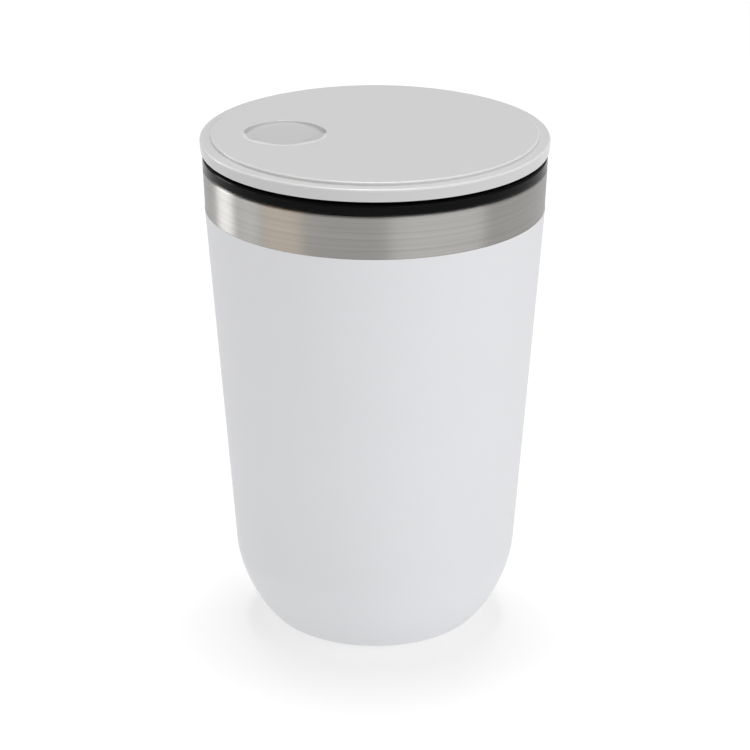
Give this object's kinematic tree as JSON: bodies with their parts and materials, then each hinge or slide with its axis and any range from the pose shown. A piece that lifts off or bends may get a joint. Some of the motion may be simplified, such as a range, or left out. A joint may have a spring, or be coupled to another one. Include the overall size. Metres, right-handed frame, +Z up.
{
  "type": "insulated travel tumbler",
  "caption": "Double-wall steel travel tumbler with a white coated body, bare steel band and a plug lid whose stepped grey cover turns to lower a round valve.",
  "frame": {"origin": "centre of the foot, on the table", "axes": "+Z up along the cup's axis, -X towards the finger dish, -Y to the front"},
  "size_m": [0.086, 0.086, 0.1286],
  "materials": {
    "brushed_steel": "stainless steel, fine brushing round the band",
    "powder_coat": "matte white powder coat",
    "liner_steel": "satin stainless steel",
    "seal_glass": "dark solder glass",
    "getter": "pressed powder, matte",
    "foot_silicone": "matte silicone",
    "gloss_black": "glossy black moulding",
    "seal_silicone": "translucent grey silicone, matte",
    "washer_plastic": "natural acetal, matte",
    "cover_grey": "light grey, very fine satin texture",
    "satin_black": "satin black acetal",
    "fastener_steel": "plain stainless steel"
  },
  "bodies": {
    "cup": {"outer_wall": "brushed_steel", "powder_coat": "powder_coat", "inner_wall": "liner_steel", "base_disc": "liner_steel", "evacuation_seal": "seal_glass", "getter_holder": "liner_steel", "getter_pellet": "getter", "foot_pad": "foot_silicone"},
    "lid": {"lid_base": "gloss_black", "plug_seal": "seal_silicone", "thrust_washer": "washer_plastic"},
    "cover": {"lid_cover": "cover_grey", "cam_carrier": "satin_black", "cover_screw_a": "fastener_steel", "cover_screw_b": "fastener_steel", "cover_screw_c": "fastener_steel", "retaining_ring": "fastener_steel"},
    "valve": {"valve_stem": "washer_plastic", "cross_pin": "fastener_steel", "stem_oring": "seal_silicone", "valve_disc": "satin_black", "valve_seal": "seal_silicone", "valve_screw": "fastener_steel"}
  },
  "joints": [
    {"name": "lid_lift", "type": "slide", "parent": "cup", "child": "lid", "axis": [0, 0, 1], "range_m": [0, 0.06]},
    {"name": "cover_turn", "type": "hinge", "parent": "lid", "child": "cover", "pos_m": [0, 0, 0.1236], "axis": [0, 0, 1], "range_deg": [0, 90]},
    {"name": "valve_drop", "type": "slide", "parent": "lid", "child": "valve", "axis": [0, 0, -1], "range_m": [0, 0.0032]}
  ],
  "couplings": [
    {"joint": "valve_drop", "follows": "cover_turn", "m_per_rad": 0.002037}
  ]
}
